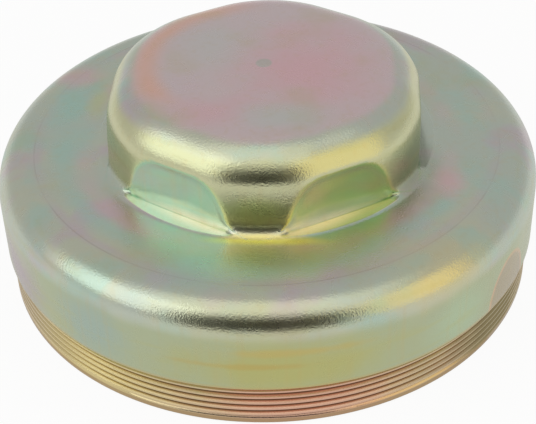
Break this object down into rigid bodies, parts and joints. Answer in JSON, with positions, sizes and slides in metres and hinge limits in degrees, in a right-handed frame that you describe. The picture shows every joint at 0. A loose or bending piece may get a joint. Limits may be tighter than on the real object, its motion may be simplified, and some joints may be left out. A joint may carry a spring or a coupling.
{
  "type": "screw-on hub cap",
  "caption": "Round pressed-steel hub cap with a hexagonal spanner boss on its crown and a fine thread round its mouth, which closes the end of a wheel hub.",
  "frame": {"origin": "middle of the mouth, on the plane that the rim stands on", "axes": "+Z along the cap's axis, out through the hexagonal boss; two corners of the hexagon on the Y axis"},
  "size_m": [0.152, 0.152, 0.062],
  "materials": {
    "plated_steel": "drawn sheet steel, zinc plated and yellow passivated, satin with an iridescent cast"
  },
  "bodies": {
    "root": {"hub_cap": "plated_steel"}
  },
  "joints": []
}
